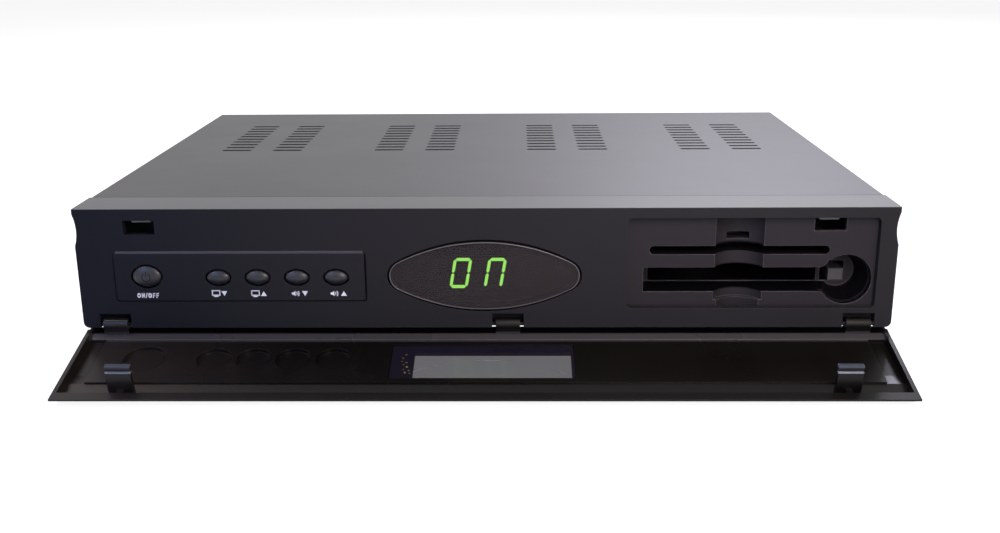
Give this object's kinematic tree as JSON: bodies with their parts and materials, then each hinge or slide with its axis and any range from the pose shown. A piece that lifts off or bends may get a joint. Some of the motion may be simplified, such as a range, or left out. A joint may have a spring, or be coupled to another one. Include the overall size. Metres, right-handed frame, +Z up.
{
  "type": "satellite television receiver",
  "caption": "Low box-shaped set-top receiver with vented steel cover, moulded front with display, buttons and card bay, and a fold-down front flap.",
  "frame": {"origin": "middle of the bounding box's underside, on the table", "axes": "+X to the right seen from the front, +Y from the front to the rear, +Z up"},
  "size_m": [0.2634, 0.2358, 0.0524],
  "materials": {
    "steel_plate": "zinc plated sheet",
    "cover_paint": "satin dark charcoal, fine grain",
    "front_plastic": "fine spark-eroded grain, satin",
    "insert_plastic": "fine grain, satin",
    "button_plastic": "smooth satin",
    "eject_plastic": "smooth satin, dark grey",
    "flap_plastic": "smooth, very dark brown black",
    "window_plastic": "tinted, see-through",
    "lens_plastic": "tinted, polished",
    "display_plastic": "plain",
    "lit_bar": "lit green",
    "dark_bar": "unlit",
    "green_board": "solder mask over fibre board",
    "brown_board": "paper board",
    "black_plastic": "moulded",
    "fin_metal": "extruded, plain",
    "socket_metal": "nickel plated",
    "catch_plastic": "moulded, grey",
    "pin_steel": "ground",
    "winding": "taped windings and laminations",
    "capacitor_sleeve": "shrunk sleeve",
    "fuse_metal": "plated clips",
    "grey_cable": "flat cable",
    "red_lead": "insulated lead",
    "brass_post": "turned",
    "screw_steel": "zinc plated",
    "black_screw": "blackened",
    "pad_rubber": "plain"
  },
  "bodies": {
    "case": {"chassis_base": "steel_plate", "rear_panel": "steel_plate", "top_cover": "cover_paint", "front_bezel": "front_plastic", "card_bay": "insert_plastic", "display_lens": "lens_plastic", "display_module": "display_plastic", "lit_segments": "lit_bar", "dark_segments": "dark_bar", "front_board": "green_board", "tact_switches": "black_plastic", "ir_receiver": "black_plastic", "hinge_pins": "pin_steel", "latch_catches": "catch_plastic", "ci_cage": "steel_plate", "ci_header": "black_plastic", "smartcard_reader": "black_plastic", "main_board": "green_board", "main_chips": "black_plastic", "chip_heat_sink": "fin_metal", "tuner_can": "steel_plate", "f_connectors": "socket_metal", "scart_sockets": "black_plastic", "rca_jacks": "black_plastic", "serial_port": "socket_metal", "psu_board": "brown_board", "transformer": "winding", "psu_heat_sink": "fin_metal", "capacitors": "capacitor_sleeve", "fuse_holder": "fuse_metal", "mains_inlet": "black_plastic", "power_switch_body": "black_plastic", "ribbon_cable": "grey_cable", "power_harness": "red_lead", "standoffs": "brass_post", "board_screws": "screw_steel", "cover_screws": "black_screw", "rear_screws": "black_screw", "feet": "black_plastic", "rubber_pads": "pad_rubber", "foot_screws": "screw_steel"},
    "flap": {"flap_door": "flap_plastic", "flap_window": "window_plastic"},
    "standby_button": {"standby_button": "button_plastic"},
    "channel_down_button": {"channel_down_button": "button_plastic"},
    "channel_up_button": {"channel_up_button": "button_plastic"},
    "volume_down_button": {"volume_down_button": "button_plastic"},
    "volume_up_button": {"volume_up_button": "button_plastic"},
    "eject_button": {"eject_button": "eject_plastic"},
    "eject_lever": {"eject_lever": "steel_plate"},
    "card_pusher": {"card_pusher": "steel_plate"},
    "power_rocker": {"power_rocker": "black_plastic"}
  },
  "joints": [
    {"name": "flap_hinge", "type": "hinge", "parent": "case", "child": "flap", "pos_m": [0, -0.08104, 0.01385], "axis": [-1, 0, 0], "range_deg": [0, 104.3]},
    {"name": "standby_press", "type": "slide", "parent": "case", "child": "standby_button", "axis": [0, 1, 0], "range_m": [0, 0.0006], "stiffness_N_per_m": 300},
    {"name": "channel_down_press", "type": "slide", "parent": "case", "child": "channel_down_button", "axis": [0, 1, 0], "range_m": [0, 0.0006], "stiffness_N_per_m": 300},
    {"name": "channel_up_press", "type": "slide", "parent": "case", "child": "channel_up_button", "axis": [0, 1, 0], "range_m": [0, 0.0006], "stiffness_N_per_m": 300},
    {"name": "volume_down_press", "type": "slide", "parent": "case", "child": "volume_down_button", "axis": [0, 1, 0], "range_m": [0, 0.0006], "stiffness_N_per_m": 300},
    {"name": "volume_up_press", "type": "slide", "parent": "case", "child": "volume_up_button", "axis": [0, 1, 0], "range_m": [0, 0.0006], "stiffness_N_per_m": 300},
    {"name": "eject_press", "type": "slide", "parent": "case", "child": "eject_button", "axis": [0, 1, 0], "range_m": [0, 0.005]},
    {"name": "eject_lever_pivot", "type": "hinge", "parent": "case", "child": "eject_lever", "pos_m": [0.0975, -0.00009, 0.0312], "axis": [0, 0, 1], "range_deg": [0, 15.6]},
    {"name": "card_pusher_slide", "type": "slide", "parent": "case", "child": "card_pusher", "axis": [0, -1, 0], "range_m": [0, 0.00505]},
    {"name": "power_rocker_tip", "type": "hinge", "parent": "case", "child": "power_rocker", "pos_m": [-0.083, 0.10391, 0.0313], "axis": [-1, 0, 0], "range_deg": [0, 20]}
  ],
  "couplings": [
    {"joint": "eject_lever_pivot", "follows": "eject_press", "rad_per_m": 53.763},
    {"joint": "card_pusher_slide", "follows": "eject_press", "ratio": 1}
  ]
}
